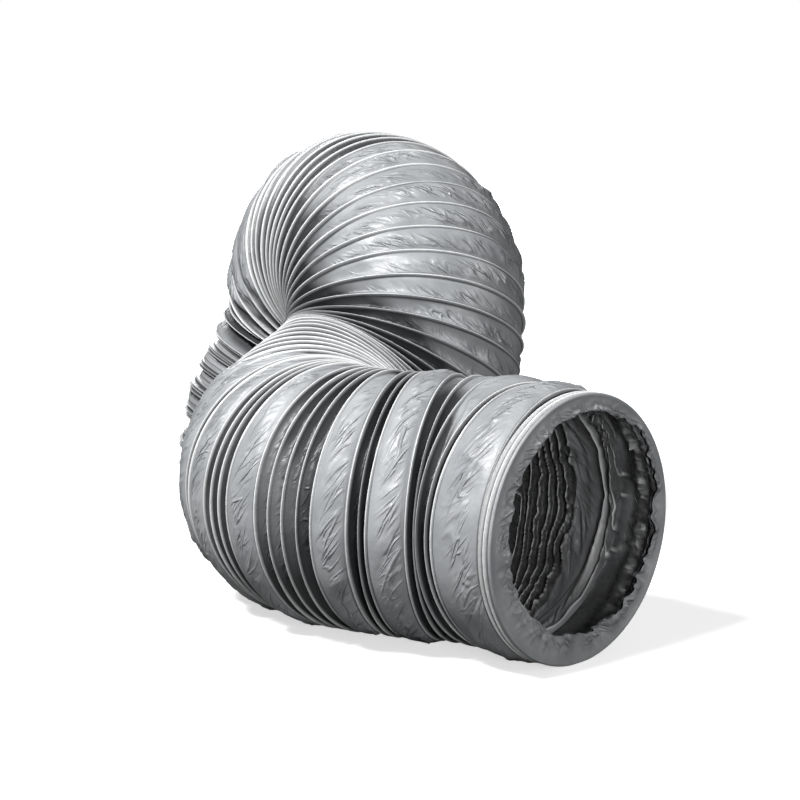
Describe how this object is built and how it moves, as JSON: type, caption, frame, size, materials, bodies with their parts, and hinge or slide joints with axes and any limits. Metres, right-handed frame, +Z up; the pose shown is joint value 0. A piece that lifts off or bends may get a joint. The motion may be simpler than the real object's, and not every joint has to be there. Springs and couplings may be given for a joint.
{
  "type": "flexible air duct",
  "caption": "Two-ply film duct on a helical spring wire, set up on its closed foot, arched over and laid down to an open mouth, with slip-on bores at both ends.",
  "frame": {"origin": "on the floor under the middle of the duct's bounding box", "axes": "+Z up; +Y from the lying mouth end to the standing foot; +X to the side that the mouth opens to"},
  "size_m": [0.4159, 0.7231, 0.3611],
  "materials": {
    "outer_film": "satin calendered PVC film, pleated",
    "inner_film": "dull grey film",
    "spring_wire": "drawn, coppered spring steel left bare at the cut"
  },
  "bodies": {
    "foot": {"foot_outer_ply": "outer_film", "foot_inner_ply": "inner_film", "foot_wire_turn": "spring_wire", "foot_bellows_outer": "outer_film", "foot_bellows_inner": "inner_film"},
    "leg": {"leg_outer_ply": "outer_film", "leg_inner_ply": "inner_film", "crown_bellows_outer": "outer_film", "crown_bellows_inner": "inner_film"},
    "front": {"riser_outer_ply": "outer_film", "riser_inner_ply": "inner_film", "bend_outer_ply": "outer_film", "bend_inner_ply": "inner_film", "run_outer_ply": "outer_film", "run_inner_ply": "inner_film", "neck_bellows_outer": "outer_film", "neck_bellows_inner": "inner_film"},
    "neck": {"neck_outer_ply": "outer_film", "neck_inner_ply": "inner_film", "mouth_bellows_outer": "outer_film", "mouth_bellows_inner": "inner_film"},
    "mouth": {"mouth_outer_ply": "outer_film", "mouth_inner_ply": "inner_film", "mouth_wire_turn": "spring_wire"}
  },
  "joints": [
    {"name": "foot_stretch", "type": "slide", "parent": "foot", "child": "leg", "axis": [0, 0, 1], "range_m": [0, 0.2], "deforming": ["foot_bellows_outer", "foot_bellows_inner"]},
    {"name": "crown_bend", "type": "hinge", "parent": "leg", "child": "front", "pos_m": [0.0013, 0.0907, 0.2399], "axis": [-0.7846, -0.4784, 0.3945], "range_deg": [0, 30], "deforming": ["crown_bellows_outer", "crown_bellows_inner"]},
    {"name": "neck_swing", "type": "hinge", "parent": "front", "child": "neck", "pos_m": [0.045, -0.2136, 0.1026], "axis": [0, 0, 1], "range_deg": [-10, 20], "deforming": ["neck_bellows_outer", "neck_bellows_inner"]},
    {"name": "mouth_stretch", "type": "slide", "parent": "neck", "child": "mouth", "axis": [0.726, -0.6877, 0], "range_m": [-0.009, 0.06], "deforming": ["mouth_bellows_outer", "mouth_bellows_inner"]}
  ]
}
